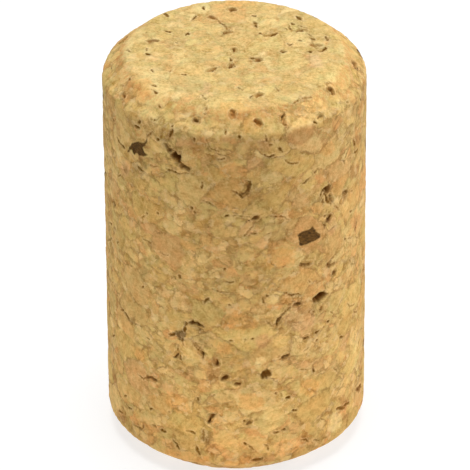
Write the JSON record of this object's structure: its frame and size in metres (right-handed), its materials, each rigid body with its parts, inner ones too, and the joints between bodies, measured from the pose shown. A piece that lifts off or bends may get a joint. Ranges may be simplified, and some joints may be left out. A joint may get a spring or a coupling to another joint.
{
  "type": "cork stopper",
  "caption": "Cylindrical agglomerated cork stopper with a rounded chamfer at each end, for pressing into the neck of a bottle, flask or jar.",
  "frame": {"origin": "centre of the lower end face", "axes": "+Z along the stopper's axis, from the lower end to the upper end; -Y is the side with the largest specks of bark"},
  "size_m": [0.0234, 0.0234, 0.038],
  "materials": {
    "cork": "pressed cork granules, dry and matt, mottled cream to orange-brown, with small open voids and dark specks of bark"
  },
  "bodies": {
    "root": {"stopper": "cork"}
  },
  "joints": []
}
